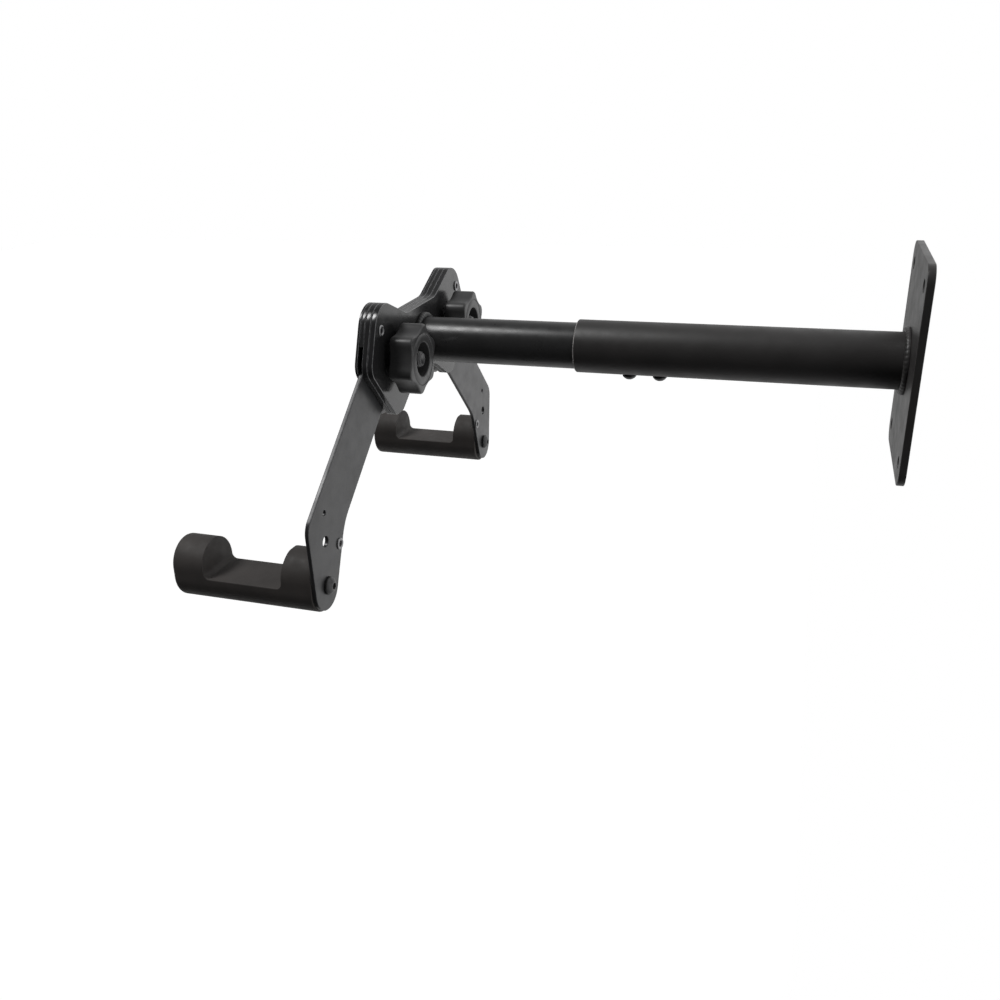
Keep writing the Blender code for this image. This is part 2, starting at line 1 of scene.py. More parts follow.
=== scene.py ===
"""Dresses the wall bike holder: finer meshes and finishes for every piece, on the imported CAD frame.

Metres, +Z up. The wall is the plane Y = 0 and the boom reaches out from it along -Y.
"""

import math

import bmesh
import bpy
from mathutils import Matrix, Vector


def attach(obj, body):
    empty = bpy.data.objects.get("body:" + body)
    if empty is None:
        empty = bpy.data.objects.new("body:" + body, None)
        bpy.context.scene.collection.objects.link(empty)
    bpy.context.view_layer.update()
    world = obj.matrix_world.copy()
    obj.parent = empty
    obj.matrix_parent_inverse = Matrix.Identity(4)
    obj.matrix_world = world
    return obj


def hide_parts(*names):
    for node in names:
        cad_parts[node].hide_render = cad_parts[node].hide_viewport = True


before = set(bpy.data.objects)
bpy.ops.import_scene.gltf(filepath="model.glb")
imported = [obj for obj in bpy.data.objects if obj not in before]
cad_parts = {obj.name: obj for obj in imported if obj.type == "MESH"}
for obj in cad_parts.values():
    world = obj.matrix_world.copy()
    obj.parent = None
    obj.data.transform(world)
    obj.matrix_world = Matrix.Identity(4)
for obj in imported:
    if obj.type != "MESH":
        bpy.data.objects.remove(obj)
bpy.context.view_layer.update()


# View and room
# The camera stands beside the sleeve, close to the wall, and looks along the boom and down.
# One soft lamp hangs over the boom, the room is bright past the wall and dim behind the camera, and a pale
# floor lies far below.
CAMERA_AT = (0.6945, -0.0744, 0.1917)
VIEW_YAW = math.radians(18.43)
VIEW_PITCH = math.radians(24.13)
VIEW_ROLL = math.radians(2.21)
FOCAL_PIXELS = 950.5
IMAGE_PIXELS = 1000
SENSOR = 36.0

lens = bpy.data.cameras.new("view")
lens.sensor_width = SENSOR
lens.lens = SENSOR * FOCAL_PIXELS / IMAGE_PIXELS
lens.clip_start = 0.01
camera = bpy.data.objects.new("view", lens)
heading = Matrix.Rotation(math.radians(90) + VIEW_YAW, 4, "Z")
tipping = Matrix.Rotation(math.radians(90) - VIEW_PITCH, 4, "X")
rolling = Matrix.Rotation(-VIEW_ROLL, 4, "Z")
camera.matrix_world = Matrix.Translation(CAMERA_AT) @ heading @ tipping @ rolling
bpy.context.scene.collection.objects.link(camera)
bpy.context.scene.camera = camera
bpy.context.scene.view_settings.view_transform = "Standard"


def new_finish(name):
    """A new material with its node tree and its shader."""
    finish = bpy.data.materials.new(name)
    finish.use_nodes = True
    return finish, finish.node_tree, finish.node_tree.nodes["Principled BSDF"]


FLOOR_BELOW = 1.10
FLOOR_FAR = 7.0
FLOOR_NEAR = 0.1
FLOOR_LIFT = 0.45
PALE = (0.90, 0.90, 0.90, 1.0)
WHITE = (1.0, 1.0, 1.0, 1.0)
floor_mesh = bpy.data.meshes.new("floor")
floor_corners = (
    (-FLOOR_FAR, -FLOOR_FAR, -FLOOR_BELOW),
    (FLOOR_NEAR, -FLOOR_FAR, -FLOOR_BELOW),
    (FLOOR_NEAR, 0.0, -FLOOR_BELOW),
    (-FLOOR_FAR, 0.0, -FLOOR_BELOW),
)
floor_mesh.from_pydata(floor_corners, [], [(0, 1, 2, 3)])
floor = bpy.data.objects.new("floor", floor_mesh)
bpy.context.scene.collection.objects.link(floor)
floor_finish, floor_tree, floor_shader = new_finish("pale_floor")
floor_shader.inputs["Base Color"].default_value = PALE
floor_shader.inputs["Roughness"].default_value = 0.8
floor_shader.inputs["Specular IOR Level"].default_value = 0.0
floor_shader.inputs["Emission Color"].default_value = WHITE
floor_rays = floor_tree.nodes.new("ShaderNodeLightPath")
floor_glow = floor_tree.nodes.new("ShaderNodeMath")
floor_glow.operation = "MULTIPLY"
floor_glow.inputs[1].default_value = FLOOR_LIFT
floor_tree.links.new(floor_rays.outputs["Is Camera Ray"], floor_glow.inputs[0])
floor_tree.links.new(floor_glow.outputs[0], floor_shader.inputs["Emission Strength"])
floor_mesh.materials.append(floor_finish)

AMBIENT = 0.55
BACKDROP = 1.0
DARK_SIDE = 0.05
BRIGHT_WAY = (-0.60, 0.80, 0.0)
DIM_UNTIL = -0.30
BRIGHT_FROM = 0.85
room = bpy.data.worlds.new("room")
room.use_nodes = True
bpy.context.scene.world = room
air = room.node_tree
rays = air.nodes.new("ShaderNodeLightPath")
mirrored = air.nodes.new("ShaderNodeMath")
mirrored.operation = "MAXIMUM"
air.links.new(rays.outputs["Is Glossy Ray"], mirrored.inputs[0])
air.links.new(rays.outputs["Is Transmission Ray"], mirrored.inputs[1])
level = air.nodes.new("ShaderNodeMapRange")
level.inputs["To Min"].default_value = AMBIENT
level.inputs["To Max"].default_value = BACKDROP
air.links.new(mirrored.outputs[0], level.inputs["Value"])
way = air.nodes.new("ShaderNodeTexCoord")
facing = air.nodes.new("ShaderNodeVectorMath")
facing.operation = "DOT_PRODUCT"
facing.inputs[1].default_value = BRIGHT_WAY
air.links.new(way.outputs["Generated"], facing.inputs[0])
side = air.nodes.new("ShaderNodeMapRange")
side.interpolation_type = "SMOOTHSTEP"
side.inputs["From Min"].default_value = DIM_UNTIL
side.inputs["From Max"].default_value = BRIGHT_FROM
side.inputs["To Min"].default_value = DARK_SIDE
air.links.new(facing.outputs["Value"], side.inputs["Value"])
lit = air.nodes.new("ShaderNodeMath")
lit.operation = "MULTIPLY"
air.links.new(level.outputs["Result"], lit.inputs[0])
air.links.new(side.outputs["Result"], lit.inputs[1])
shown = air.nodes.new("ShaderNodeMath")
shown.operation = "MAXIMUM"
air.links.new(rays.outputs["Is Camera Ray"], shown.inputs[0])
air.links.new(lit.outputs[0], shown.inputs[1])
sky = air.nodes["Background"]
sky.inputs["Color"].default_value = WHITE
air.links.new(shown.outputs[0], sky.inputs["Strength"])

LAMP_FROM = (0.19, -0.49, 0.87)
LAMP_WIDTH = math.radians(18)
LAMP_STRENGTH = 1.6
lamp = bpy.data.lights.new("top_lamp", "SUN")
lamp.energy = LAMP_STRENGTH
lamp.angle = LAMP_WIDTH
lamp_holder = bpy.data.objects.new("top_lamp", lamp)
lamp_holder.rotation_euler = Vector(LAMP_FROM).to_track_quat("Z", "Y").to_euler()
bpy.context.scene.collection.objects.link(lamp_holder)


# Wall plate
# Laser-cut 5 mm steel plate with rounded corners and four holes for wall screws.
# Deburred, then powder coated black together with the sleeve that is welded to it.
PLATE_HALF_WIDTH = 0.055
PLATE_HALF_HEIGHT = 0.075
PLATE_THICKNESS = 0.005
PLATE_CORNER = 0.012
PLATE_EDGE = 0.0005
WALL_HOLE_X = 0.040
WALL_HOLE_Z = 0.060
WALL_HOLE_RADIUS = 0.0045
ARC_STEP = math.radians(6)
HOLE_STEPS = 48
BLACK_COAT = (0.042, 0.040, 0.0395)
HAZE_CELLS = 38
GLOSS_CELLS = 90
EDGE_PATCH_CELLS = 420
PEEL_CELLS = 700
PEEL_DEPTH = 0.00012
GRAIN_CELLS = 2600
GRAIN_DEPTH = 0.00004
EDGE_STEPS = 4

# A mix node's colour sockets share their names with others, so they go by number
MIX_A = 6
MIX_B = 7
MIX_RESULT = 2


def noise(tree, scale, detail=2.0):
    """Output of a noise whose scale is in cells per metre."""
    where = tree.nodes.new("ShaderNodeTexCoord")
    cloud = tree.nodes.new("ShaderNodeTexNoise")
    cloud.inputs["Scale"].default_value = scale
    cloud.inputs["Detail"].default_value = detail
    tree.links.new(where.outputs["Object"], cloud.inputs["Vector"])
    return cloud.outputs["Fac"]


def spread(tree, source, low, high, start=0.3, end=0.7):
    """The source's range from start to end, stretched to low to high."""
    stretch = tree.nodes.new("ShaderNodeMapRange")
    stretch.inputs["From Min"].default_value = start
    stretch.inputs["From Max"].default_value = end
    stretch.inputs["To Min"].default_value = low
    stretch.inputs["To Max"].default_value = high
    tree.links.new(source, stretch.inputs["Value"])
    return stretch.outputs["Result"]


def tint(tree, fac, colour, darker, lighter):
    """A cloudy colour, between a darker and a lighter shade of it, by fac."""
    blend = tree.nodes.new("ShaderNodeMix")
    blend.data_type = "RGBA"
    blend.inputs[MIX_A].default_value = (*[c * darker for c in colour], 1.0)
    blend.inputs[MIX_B].default_value = (*[c * lighter for c in colour], 1.0)
    tree.links.new(fac, blend.inputs[0])
    return blend.outputs[MIX_RESULT]


def relief(tree, layers):
    """Bump from layers of (noise, strength, depth), each laid on the one before."""
    normal = None
    for height, strength, depth in layers:
        bump = tree.nodes.new("ShaderNodeBump")
        bump.inputs["Strength"].default_value = strength
        bump.inputs["Distance"].default_value = depth
        tree.links.new(height, bump.inputs["Height"])
        if normal:
            tree.links.new(normal, bump.inputs["Normal"])
        normal = bump.outputs["Normal"]
    return normal


def coated_steel(name, colour, roughness, lift=1.5, peel=0.22, grain=0.30):
    """Powder coat: orange peel, grain, handling haze, and edge roundings painted lighter by lift, partly a
    thinner, rubbed coat and partly a painted highlight.
    """
    finish, tree, shader = new_finish(name)
    haze = spread(tree, noise(tree, HAZE_CELLS, 4.0), 0.0, 1.0)
    body = tint(tree, haze, colour, 0.88, 1.14)
    # Where the mesh marks edge, the colour is lifted in patches: part wear of the thin coat, part painted
    # highlight on the rounding.
    edge = tree.nodes.new("ShaderNodeAttribute")
    edge.attribute_name = "edge"
    patchy = spread(tree, noise(tree, EDGE_PATCH_CELLS, 3.0), 0.35, 1.0)
    wear_and_highlight = tree.nodes.new("ShaderNodeMath")
    wear_and_highlight.operation = "MULTIPLY"
    tree.links.new(edge.outputs["Fac"], wear_and_highlight.inputs[0])
    tree.links.new(patchy, wear_and_highlight.inputs[1])
    worn_and_lit = tree.nodes.new("ShaderNodeMix")
    worn_and_lit.data_type = "RGBA"
    tree.links.new(wear_and_highlight.outputs[0], worn_and_lit.inputs[0])
    tree.links.new(body, worn_and_lit.inputs[MIX_A])
    worn_and_lit.inputs[MIX_B].default_value = (*[c * lift + 0.01 for c in colour], 1.0)
    tree.links.new(worn_and_lit.outputs[MIX_RESULT], shader.inputs["Base Color"])
    gloss = spread(tree, noise(tree, GLOSS_CELLS, 3.0), roughness - 0.05, roughness + 0.06)
    tree.links.new(gloss, shader.inputs["Roughness"])
    peel_layer = (noise(tree, PEEL_CELLS, 1.0), peel, PEEL_DEPTH)
    grain_layer = (noise(tree, GRAIN_CELLS, 2.0), grain, GRAIN_DEPTH)
    tree.links.new(relief(tree, (peel_layer, grain_layer)), shader.inputs["Normal"])
    return finish


def fillet(before, corner, after, radius):
    """Points of the tangent arc that rounds a corner between its two neighbours."""
    here = Vector(corner)
    back = (Vector(before) - here).normalized()
    ahead = (Vector(after) - here).normalized()
    half = back.angle(ahead) / 2
    centre = here + (back + ahead).normalized() * (radius / math.sin(half))
    start = here + back * (radius / math.tan(half)) - centre
    sweep = start.angle_signed(here + ahead * (radius / math.tan(half)) - centre)
    steps = max(3, math.ceil(abs(sweep) / ARC_STEP))
    return [centre + Matrix.Rotation(-sweep * step / steps, 2) @ start for step in range(steps + 1)]


def rounded_outline(corners):
    """A closed outline of corners (x, z, radius). Radius 0 keeps a point as it is."""
    outline = []
    for index, (x, z, radius) in enumerate(corners):
        before = corners[index - 1][:2]
        after = corners[(index + 1) % len(corners)][:2]
        outline += fillet(before, (x, z), after, radius) if radius else [Vector((x, z))]
    return outline


def arc(centre, radius, start, end, steps):
    """Points of an arc about a centre, from one angle to another."""
    angles = [start + (end - start) * step / steps for step in range(steps + 1)]
    return [Vector((centre[0] + radius * math.cos(a), centre[1] + radius * math.sin(a))) for a in angles]


def circle(x, z, radius):
    """Points of a full circle, each of them once."""
    return arc((x, z), radius, 0, math.tau, HOLE_STEPS)[:-1]


def quarter_turn(steps):
    """Angles from 0 to 90 degrees."""
    return [math.radians(90) * step / steps for step in range(steps + 1)]


def area_of(loop):
    """Signed area of a loop, above 0 where it runs anticlockwise."""
    return sum(loop[i - 1].x * loop[i].y - loop[i].x * loop[i - 1].y for i in range(len(loop))) / 2


def drawn_in(loop, depth):
    """The loop with each point moved by depth towards its own inside."""
    turn = 1.0 if area_of(loop) > 0 else -1.0
    moved = []
    for index, here in enumerate(loop):
        back = (here - loop[index - 1]).normalized()
        ahead = (loop[(index + 1) % len(loop)] - here).normalized()
        along = (back + ahead).normalized()
        inward = Vector((-along.y, along.x)) * turn
        moved.append(here + inward * depth / max(0.5, along.dot(ahead)))
    return moved


def join_rings(bm, rings, closed=False):
    """Faces between each ring of points and the next. A ring may be a single point."""
    pairs = list(zip(rings, rings[1:]))
    if closed:
        pairs.append((rings[-1], rings[0]))
    for low, high in pairs:
        for i in range(max(len(low), len(high))):
            if len(low) == 1:
                corners = (low[0], high[i], high[i - 1])
            elif len(high) == 1:
                corners = (low[i - 1], low[i], high[0])
            else:
                corners = (low[i - 1], low[i], high[i], high[i - 1])
            bm.faces.new(corners)


def cut_plate(outline, holes, y_low, y_high, edge, place=None):
    """Sheet steel cut to an outline with holes, whose edges are rounded. Marks the rounding as edge, which
    the coat paints lighter: part wear, part painted highlight.
    """
    bm = bmesh.new()
    # Edge mask, strongest mid-rounding: the coat paints it lighter, as wear and as a painted highlight.
    worn_and_lit = bm.verts.layers.float.new("edge")
    quarter = quarter_turn(EDGE_STEPS)
    section = [(edge * (1 - math.sin(a)), y_low + edge * (1 - math.cos(a))) for a in quarter]
    section += [(inset, y_low + y_high - y) for inset, y in reversed(section)]
    caps = ([], [])
    for loop, side in [(outline, 1.0)] + [(hole, -1.0) for hole in holes]:
        rings = []
        for step, (inset, y) in enumerate(section):
            ring = [bm.verts.new((p.x, y, p.y)) for p in drawn_in(loop, inset * side)]
            for vert in ring:
                vert[worn_and_lit] = math.sin(math.pi * min(step, len(section) - 1 - step) / EDGE_STEPS)
            rings.append(ring)
        join_rings(bm, rings)
        for cap, ring in zip(caps, (rings[0], rings[-1])):
            rim = [bm.edges.get((ring[i - 1], ring[i])) for i in range(len(ring))]
            for line in rim:
                line.smooth = False
            cap += rim
    for cap in caps:
        bmesh.ops.triangle_fill(bm, use_beauty=True, edges=cap)
    if place:
        bmesh.ops.transform(bm, matrix=place, verts=bm.verts)
    return bm


def face_outwards(bm):
    """Turns every face of a closed shape outwards."""
    bmesh.ops.recalc_face_normals(bm, faces=bm.faces)
    if bm.calc_volume(signed=True) < 0:
        bmesh.ops.reverse_faces(bm, faces=bm.faces)


def mesh_object(name, bm):
    """An object in the scene from a bmesh, which is used up."""
    mesh = bpy.data.meshes.new(name)
    bm.to_mesh(mesh)
    bm.free()
    made = bpy.data.objects.new(name, mesh)
    bpy.context.scene.collection.objects.link(made)
    return made


def dress(name, bm, finish, body, node, crease=None):
    """Turns a bmesh into a shown piece that stands for a CAD node and rides on its body."""
    bmesh.ops.remove_doubles(bm, verts=bm.verts, dist=1e-7)
    face_outwards(bm)
    for face in bm.faces:
        face.smooth = True
    if crease:
        for line in bm.edges:
            if len(line.link_faces) == 2 and line.calc_face_angle(0.0) > math.radians(crease):
                line.smooth = False
    piece = mesh_object(name, bm)
    piece.data.materials.append(finish)
    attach(piece, body)
    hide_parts(node)


black_coat = coated_steel("black_powder_coat", BLACK_COAT, roughness=0.42)
plate_corners = []
plate_holes = []
for side_x, side_z in ((1, 1), (1, -1), (-1, -1), (-1, 1)):
    plate_corners.append((side_x * PLATE_HALF_WIDTH, side_z * PLATE_HALF_HEIGHT, PLATE_CORNER))
    plate_holes.append(circle(side_x * WALL_HOLE_X, side_z * WALL_HOLE_Z, WALL_HOLE_RADIUS))
wall_plate = cut_plate(rounded_outline(plate_corners), plate_holes, -PLATE_THICKNESS, 0.0, PLATE_EDGE)
dress("wall_plate_coated", wall_plate, black_coat, "wall_unit", "wall_plate")


# Sleeve
# Drawn steel tube, 40 mm across, welded square on the wall plate and coated with it.
# Its mouth is rounded over, and two holes in its underside take the lock screws.
SLEEVE_RADIUS = 0.020
SLEEVE_WALL = 0.0022
SLEEVE_BACK = -0.0053
SLEEVE_MOUTH = -0.238
LOCK_SCREWS_Y = (-0.198, -0.175)
TUBE_STEPS = 128
MOUTH_ROUND = 0.0008
DEBURR = 0.0003
SCREW_HOLE_RADIUS = 0.0033
DRILL_LOW = -0.03
DRILL_HIGH = -0.01
DRILL_STEPS = 32


def lathe(profile, steps, closed=False, worn_and_lit=()):
    """A profile of (radius, y) turned about Y, with the rows whose indexes are given marked as edge, which
    the coat paints lighter: part wear, part painted highlight.

    A radius of 0 is a point on the axis, and a radius may be a function of the angle.
    """
    bm = bmesh.new()
    edge_mark = bm.verts.layers.float.new("edge")
    rings = []
    for index, (radius, y) in enumerate(profile):
        if radius == 0:
            rings.append([bm.verts.new((0, y, 0))])
            continue
        ring = []
        for step in range(steps):
            angle = math.tau * step / steps
            reach = radius(angle) if callable(radius) else radius
            vert = bm.verts.new((reach * math.cos(angle), y, reach * math.sin(angle)))
            vert[edge_mark] = 1.0 if index in worn_and_lit else 0.0
            ring.append(vert)
        rings.append(ring)
    join_rings(bm, rings, closed)
    return bm


def tube_section(outer, wall, y_low, y_high, turn):
    """Closed wall section of a tube, rounded over at its mouth y_low and deburred at every other corner."""
    inner = outer - wall
    quarter = math.pi / 2
    section = arc((inner + DEBURR, y_low + DEBURR), DEBURR, -2 * quarter, -quarter, 3)
    section += arc((outer - turn, y_low + turn), turn, -quarter, 0, 5)
    section += arc((outer - DEBURR, y_high - DEBURR), DEBURR, 0, quarter, 3)
    section += arc((inner + DEBURR, y_high - DEBURR), DEBURR, quarter, 2 * quarter, 3)
    return section


def milled(bm, cutters):
    """The shape with cutters taken out of it, as a new bmesh."""
    for closed_shape in (bm, *cutters):
        face_outwards(closed_shape)
    blank = mesh_object("blank", bm)
    tools = [mesh_object("tool", cutter) for cutter in cutters]
    for tool in tools:
        boolean = blank.modifiers.new("cut", "BOOLEAN")
        boolean.operation = "DIFFERENCE"
        boolean.solver = "EXACT"
        boolean.object = tool
    shape = bpy.data.meshes.new_from_object(blank.evaluated_get(bpy.context.evaluated_depsgraph_get()))
    result = bmesh.new()
    result.from_mesh(shape)
    for thing in (blank, *tools):
        bpy.data.objects.remove(thing)
    return result


def drill(y):
    """Upright round cutter through the tube's underside."""
    rod = [(0, DRILL_LOW), (SCREW_HOLE_RADIUS, DRILL_LOW), (SCREW_HOLE_RADIUS, DRILL_HIGH), (0, DRILL_HIGH)]
    bm = lathe(rod, DRILL_STEPS)
    for vert in bm.verts:
        x, up, depth = vert.co
        vert.co = Vector((x, y + depth, up))
    return bm


sleeve_section = tube_section(SLEEVE_RADIUS, SLEEVE_WALL, SLEEVE_MOUTH, SLEEVE_BACK, MOUTH_ROUND)
sleeve_blank = lathe(sleeve_section, TUBE_STEPS, closed=True, worn_and_lit=range(5, 9))
sleeve = milled(sleeve_blank, [drill(y) for y in LOCK_SCREWS_Y])
# The mouth's rounding is painted far lighter: part bare steel rubbed by the boom, part painted highlight.
rubbed_and_lit_coat = coated_steel("rubbed_and_lit_powder_coat", BLACK_COAT, roughness=0.47, lift=16)
dress("sleeve_coated", sleeve, rubbed_and_lit_coat, "wall_unit", "sleeve", crease=40)


# Weld beads
# One fillet weld closes the sleeve's root on the wall plate, the other the inner tube's on the rear plate.
# Laid by hand under gas, so the ripples differ a little, and coated over with the tube beside them.
PACK_Y = -0.365
TUBE_RADIUS = 0.0175
BEAD_LEG = 0.0036
BEAD_RIPPLES = 42
BEAD_STEPS_EACH = 8
BEAD_SECTION = 10
BEAD_FULLNESS = 0.85
SLOW_SWAY = 0.035
QUICK_SWAY = 0.025
RIPPLE_LAG = 0.55
RIPPLE_SHARPNESS = 0.6
RIPPLE_HEIGHT = 0.10
WELD_GAP = 0.0003
TUBE_COAT = (0.031, 0.031, 0.0315)


def weld_bead(tube_radius, root_y, away, phase):
    """Ring of overlapping ripples between a tube and the plate that it stands on."""
    steps = BEAD_RIPPLES * BEAD_STEPS_EACH
    inner = tube_radius + WELD_GAP
    bm = bmesh.new()
    slices = []
    for step in range(steps):
        angle = math.tau * step / steps
        sway = 1 + SLOW_SWAY * math.sin(3 * angle + phase) + QUICK_SWAY * math.sin(7 * angle + 2 * phase)
        section = [(inner, 0.0)]
        for turn in quarter_turn(BEAD_SECTION):
            lag = RIPPLE_LAG * math.sin(2 * turn)
            ripple = abs(math.sin(BEAD_RIPPLES * angle / 2 + lag)) ** RIPPLE_SHARPNESS
            leg = BEAD_LEG * sway * (1 - RIPPLE_HEIGHT * (1 - ripple * math.sin(2 * turn)))
            out = leg * math.cos(turn) ** BEAD_FULLNESS
            section.append((inner + out, leg * math.sin(turn) ** BEAD_FULLNESS))
        made = []
        for radius, height in section:
            y = root_y + away * (WELD_GAP + height)
            made.append(bm.verts.new((radius * math.cos(angle), y, radius * math.sin(angle))))
        slices.append(made)
    join_rings(bm, slices, closed=True)
    return bm


sleeve_bead = weld_bead(SLEEVE_RADIUS, root_y=-PLATE_THICKNESS, away=-1, phase=0.4)
dress("sleeve_weld_coated", sleeve_bead, black_coat, "wall_unit", "sleeve_weld", crease=60)
tube_bead = weld_bead(TUBE_RADIUS, root_y=PACK_Y, away=1, phase=1.9)
tube_coat = coated_steel("black_tube_coat", TUBE_COAT, roughness=0.32)
dress("tube_weld_coated", tube_bead, tube_coat, "boom", "tube_weld", crease=60)


# Lock screws
# Two M6 button-head screws, black oxide, with a 4 mm hexagon socket. They come up through the sleeve's
# underside and pull the clamp bar down, which locks the inner tube.
SCREW_RADIUS = 0.003
SCREW_STEPS = 48
LOCK_HEAD_RADIUS = 0.00525
LOCK_HEAD_HEIGHT = 0.0033
LOCK_HEAD_FLAT = 0.0026
LOCK_SCREW_LENGTH = 0.0128
LOCK_SEAT_Z = -0.0203
HEAD_RIM = 0.27
HEAD_CORNER = ((0.0003, 0.0), (0.0001, 0.0001), (0.0, 0.0004))
SCREW_POINT = 0.0007
SCREW_NECK = 0.0002
SOCKET_FLATS = 0.004
SOCKET_MOUTH = 1.17
SOCKET_BEVEL = 0.0004
SOCKET_DEPTH = 0.0020
SOCKET_CONE = 0.0006
BLACK_OXIDE = (0.085, 0.085, 0.087)
CLOUD_CELLS = 260
TARNISH_CELLS = 500
SCUFF_CELLS = 3200
SCUFF_DEPTH = 0.00003


def metal_finish(name, colour, roughness, scuffs, metallic=1.0):
    """Plated or blackened steel: cloudy colour, uneven gloss and faint tool marks."""
    finish, tree, shader = new_finish(name)
    cloud = spread(tree, noise(tree, CLOUD_CELLS, 4.0), 0.0, 1.0)
    tree.links.new(tint(tree, cloud, colour, 0.80, 1.15), shader.inputs["Base Color"])
    gloss = spread(tree, noise(tree, TARNISH_CELLS, 3.0), roughness - 0.08, roughness + 0.10)
    tree.links.new(gloss, shader.inputs["Roughness"])
    shader.inputs["Metallic"].default_value = metallic
    marks = (noise(tree, SCUFF_CELLS, 2.0), scuffs, SCUFF_DEPTH)
    tree.links.new(relief(tree, (marks,)), shader.inputs["Normal"])
    return finish


def six_sided(flats, angle):
    """Distance from the middle of a hexagon to its side, at an angle."""
    sector = math.radians(60)
    off = (angle + sector / 2) % sector - sector / 2
    return flats / 2 / math.cos(off)


def crown_profile(head_radius, head_height, flat_radius):
    """Arc of the domed head, from its upright rim to the flat round the socket."""
    rim = head_height * HEAD_RIM
    middle = (rim + head_height) / 2 - (head_radius**2 - flat_radius**2) / (2 * (head_height - rim))
    radius = math.hypot(head_radius, rim - middle)
    low = math.asin((rim - middle) / radius)
    high = math.acos(flat_radius / radius)
    return arc((0, middle), radius, low, high, 10)


def button_screw(head_radius, head_height, flat_radius, length):
    """Button-head screw about Y: seat at 0, head towards +Y, shank towards -Y."""
    profile = [(0, -length), (SCREW_RADIUS - SCREW_POINT, -length), (SCREW_RADIUS, -length + SCREW_POINT)]
    profile += [(SCREW_RADIUS, -SCREW_NECK), (SCREW_RADIUS + SCREW_NECK, 0.0)]
    profile += [(head_radius - inset, height) for inset, height in HEAD_CORNER]
    profile += crown_profile(head_radius, head_height, flat_radius)
    profile.append((SOCKET_FLATS / 2 * SOCKET_MOUTH, head_height))
    for depth in (SOCKET_BEVEL, SOCKET_DEPTH):
        profile.append((lambda angle: six_sided(SOCKET_FLATS, angle), head_height - depth))
    profile.append((0, head_height - SOCKET_DEPTH - SOCKET_CONE))
    return lathe(profile, SCREW_STEPS)


black_oxide = metal_finish("black_oxide_steel", BLACK_OXIDE, roughness=0.38, scuffs=0.2, metallic=0.6)
for name, y in zip(("front_lock_screw", "rear_lock_screw"), LOCK_SCREWS_Y):
    screw = button_screw(LOCK_HEAD_RADIUS, LOCK_HEAD_HEIGHT, LOCK_HEAD_FLAT, LOCK_SCREW_LENGTH)
    seat = Matrix.Translation((0, y, LOCK_SEAT_Z)) @ Matrix.Rotation(math.radians(-90), 4, "X")
    bmesh.ops.transform(screw, matrix=seat, verts=screw.verts)
    dress(name + "_oxide", screw, black_oxide, name + "_turning", name, crease=32)


# Clamp bar
# Half-round steel bar inside the inner tube, tapped for the two lock screws. Zinc plated.
# It lies hidden in the tube, so the CAD solid keeps its shape and takes the finish.
ZINC = (0.46, 0.46, 0.47)
zinc = metal_finish("zinc_plated_steel", ZINC, roughness=0.34, scuffs=0.25)
clamp_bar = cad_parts["clamp_bar"]
clamp_bar.data.materials.clear()
clamp_bar.data.materials.append(zinc)


# Inner tube
# Steel tube, 35 mm across, that slides in the sleeve, with a slot in its underside for the lock screws.
# Welded to the plate pack. Its black powder coat is smoother and a little darker than the sleeve's.
TUBE_WALL = 0.002
TUBE_BACK = -0.080
TUBE_END_ROUND = 0.0004
SLOT_HALF = 0.00375
SLOT_FRONT = -0.233
SLOT_BACK = -0.110
SLOT_CUT_LOW = -0.025
SLOT_CUT_HIGH = -0.0095


def prism(low_loop, high_loop):
    """Closed cutter between two loops of as many points."""
    bm = bmesh.new()
    low = [bm.verts.new(point) for point in low_loop]
    high = [bm.verts.new(point) for point in high_loop]
    bm.faces.new(low)
    bm.faces.new(reversed(high))
    join_rings(bm, [low, high])
    return bm


inner_section = tube_section(TUBE_RADIUS, TUBE_WALL, PACK_Y + WELD_GAP, TUBE_BACK, TUBE_END_ROUND)
tube_blank = lathe(inner_section, TUBE_STEPS, closed=True, worn_and_lit=range(10, 14))
slot = arc((0, SLOT_BACK - SLOT_HALF), SLOT_HALF, 0, math.pi, 16)
slot += arc((0, SLOT_FRONT + SLOT_HALF), SLOT_HALF, math.pi, math.tau, 16)
slot_cutter = prism([(p.x, p.y, SLOT_CUT_LOW) for p in slot], [(p.x, p.y, SLOT_CUT_HIGH) for p in slot])
tube = milled(tube_blank, [slot_cutter])
dress("inner_tube_coated", tube, tube_coat, "boom", "inner_tube", crease=40)


# Plate pack
# Four steel plates, 4, 4, 3 and 2 mm, laser cut to one outline with two ears and coated smooth black.
# The rear one carries the tube, the next ones press on the arms, and the spacer has a pocket for each arm.
LAYER_THICKNESS = (0.004, 0.004, 0.003, 0.002)
LAYER_GAP = 0.0003
ARM_LAYER = 2
FRONT_LAYER = 3
PIVOT_X = 0.057
RIVET_X = 0.079
RIVET_Z = 0.026
PIVOT_HOLE = 0.0063
RIVET_HOLE = 0.0033
ARM_HALF = 0.0225
POCKET_PLAY = 0.0006
POCKET_REACH = 0.070
POCKET_CUT = 0.002
POCKET_STEPS = 40
STOP_UP = math.radians(10)
PLATE_COAT = (0.028, 0.028, 0.029)
PLATE_HALF = (
    (0.000, 0.0277, 0.000),
    (0.0295, 0.0277, 0.020),
    (0.0645, 0.0433, 0.014),
    (0.0813, 0.0433, 0.021),
    (0.1006, 0.0000, 0.012),
    (0.0632, -0.0435, 0.006),
    (0.050, -0.0435, 0.008),
    (0.021, -0.0255, 0.014),
    (0.000, -0.0255, 0.000),
)


def layer_y(layer):
    """Front and rear Y of a layer of the pack. Layer 0 carries the tube."""
    rear = PACK_Y - sum(LAYER_THICKNESS[:layer]) - layer * LAYER_GAP
    return rear - LAYER_THICKNESS[layer], rear
